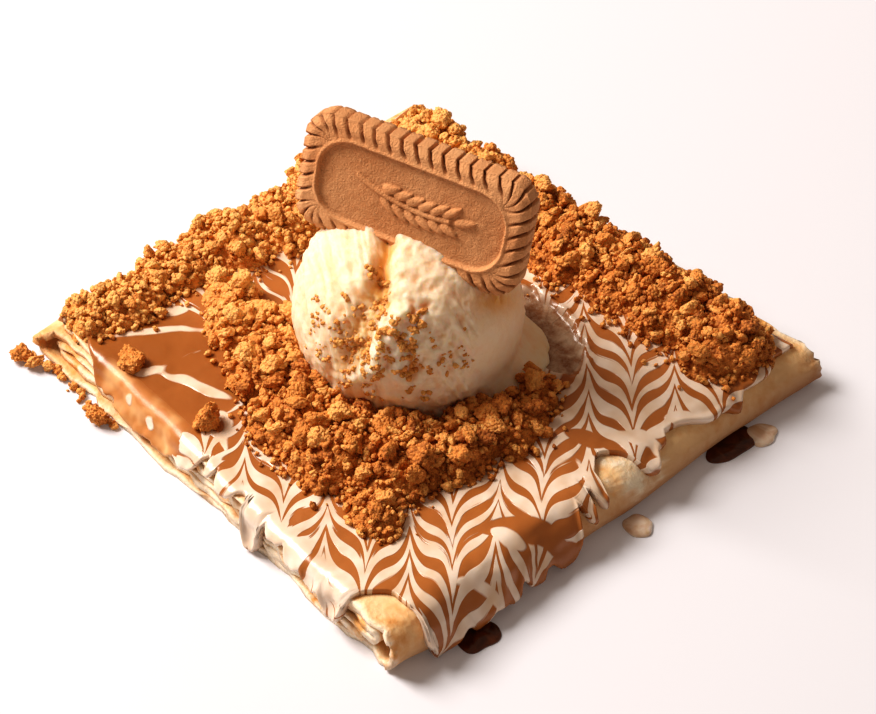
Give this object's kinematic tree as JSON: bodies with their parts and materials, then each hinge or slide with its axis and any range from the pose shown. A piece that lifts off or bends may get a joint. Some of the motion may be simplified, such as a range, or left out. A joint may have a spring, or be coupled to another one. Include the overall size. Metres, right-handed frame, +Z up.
{
  "type": "folded crepe",
  "caption": "Flat folded crepe parcel under feathered caramel sauce and biscuit crumbs, topped with a scoop of ice cream and a whole biscuit",
  "frame": {"origin": "middle of the parcel's flat underside, on the surface it rests on", "axes": "+Z up out of the flat parcel; the two closed folds run along Y at -X and +X; the cut ends of the layers face -Y and +Y"},
  "size_m": [0.1555, 0.1461, 0.0785],
  "materials": {
    "crepe": "matte, lightly browned thin pancake",
    "sauce": "glossy caramel sauce feathered with cream-coloured sauce",
    "ice_cream": "soft satin ice cream, melting at its foot",
    "biscuit": "matte baked biscuit with a fine grain",
    "crumbs": "rough matte biscuit crumbs",
    "puddle": "wet glossy dark caramel",
    "cream_drip": "glossy cream-coloured sauce"
  },
  "bodies": {
    "root": {"crepe": "crepe", "sauce_coat": "sauce", "ice_cream_scoop": "ice_cream", "biscuit": "biscuit", "crumb_heap_front": "crumbs", "crumb_heap_left": "crumbs", "crumb_heap_back": "crumbs", "crumb_on_sauce_left": "crumbs", "crumb_on_sauce_front": "crumbs", "crumb_at_corner": "crumbs", "crumb_at_foot": "crumbs", "caramel_puddle_front": "puddle", "caramel_puddle_back": "puddle", "cream_drop": "cream_drip"}
  },
  "joints": []
}
